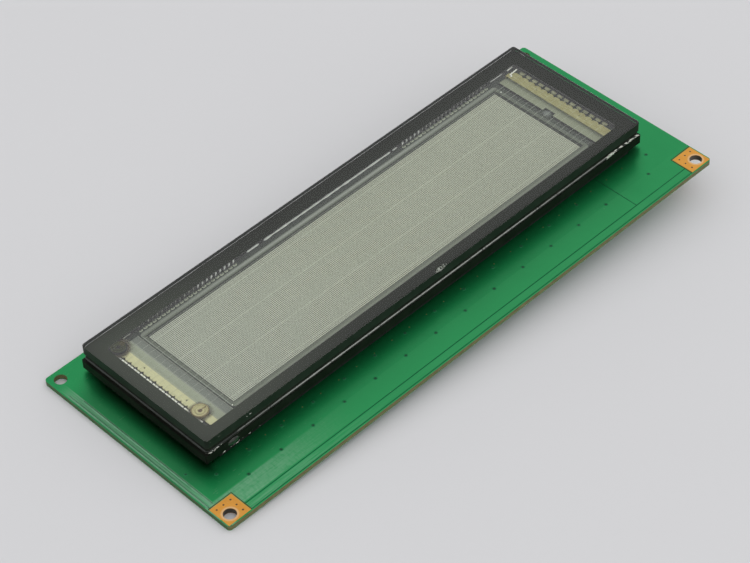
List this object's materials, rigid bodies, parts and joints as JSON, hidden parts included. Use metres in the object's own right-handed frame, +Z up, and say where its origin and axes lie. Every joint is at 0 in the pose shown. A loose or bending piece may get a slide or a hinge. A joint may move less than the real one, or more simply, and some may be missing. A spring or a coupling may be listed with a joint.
{
  "type": "graphic vacuum fluorescent display module",
  "caption": "Flat glass vacuum fluorescent dot display taped on a green circuit board with corner mounting holes, with interface header, power wafer and converter parts underneath.",
  "frame": {"origin": "under the middle of the circuit board, level with the rim of the interface header, which is the lowest point", "axes": "+X along the board, +Y from the front edge (wide board margin) to the back edge, +Z up through the glass, towards the viewer of the display"},
  "size_m": [0.1784, 0.07, 0.0192],
  "materials": {
    "board_green": "glossy solder resist over glass-fibre board",
    "pad_gold": "satin gold plating",
    "base_glass": "polished float glass over dark wiring",
    "seal_frit": "fused black sealing glass",
    "spacer_glass": "rounded clear glass",
    "border_black": "fused black border glass",
    "front_glass": "polished float glass",
    "foam_black": "matt closed-cell foam tape",
    "anode_grey": "fired phosphor dots on dark insulator",
    "film_grey": "fired insulating film",
    "grid_metal": "etched stainless foil",
    "support_metal": "satin stainless strip",
    "filament_wire": "oxide-coated tungsten wire",
    "getter_metal": "flashed metal pan",
    "lead_metal": "tinned lead frame",
    "pin_metal": "tinned square pins",
    "connector_black": "moulded plastic",
    "connector_white": "moulded natural nylon",
    "package_black": "moulded epoxy",
    "can_steel": "drawn metal can",
    "can_aluminium": "bright drawn aluminium",
    "ferrite": "ground ferrite",
    "winding_tape": "polyester tape over copper wire",
    "bobbin_plastic": "moulded phenolic",
    "chip_black": "fired resistor film",
    "chip_tan": "fired ceramic body"
  },
  "bodies": {
    "root": {"circuit_board": "board_green", "ground_pads": "pad_gold", "base_glass": "base_glass", "lower_seal": "seal_frit", "spacer_frame": "spacer_glass", "upper_seal": "border_black", "front_glass": "front_glass", "exhaust_seal": "spacer_glass", "foam_tape": "foam_black", "anode_plate": "anode_grey", "wiring_films": "film_grey", "control_grid": "grid_metal", "filament_anchor": "support_metal", "filament_spring": "support_metal", "filament_wires": "filament_wire", "getter_back": "getter_metal", "getter_front": "getter_metal", "lead_pins_left": "lead_metal", "lead_pins_right": "lead_metal", "filament_leads": "lead_metal", "header_shell": "connector_black", "header_pins": "pin_metal", "power_wafer": "connector_white", "power_pins": "pin_metal", "controller_body": "package_black", "controller_leads": "lead_metal", "memory_body": "package_black", "memory_leads": "lead_metal", "logic_body": "package_black", "logic_leads": "lead_metal", "crystal_can": "can_steel", "transformer_core": "ferrite", "transformer_winding": "winding_tape", "transformer_bobbin": "bobbin_plastic", "transformer_pins": "pin_metal", "capacitor_cans": "can_aluminium", "capacitor_bases": "connector_black", "inductor_core": "ferrite", "inductor_terminals": "pin_metal", "transistor_bodies": "package_black", "transistor_tabs": "lead_metal", "diode_bodies": "package_black", "diode_straps": "lead_metal", "chip_resistors": "chip_black", "chip_capacitors": "chip_tan", "chip_ends": "lead_metal"}
  },
  "joints": []
}
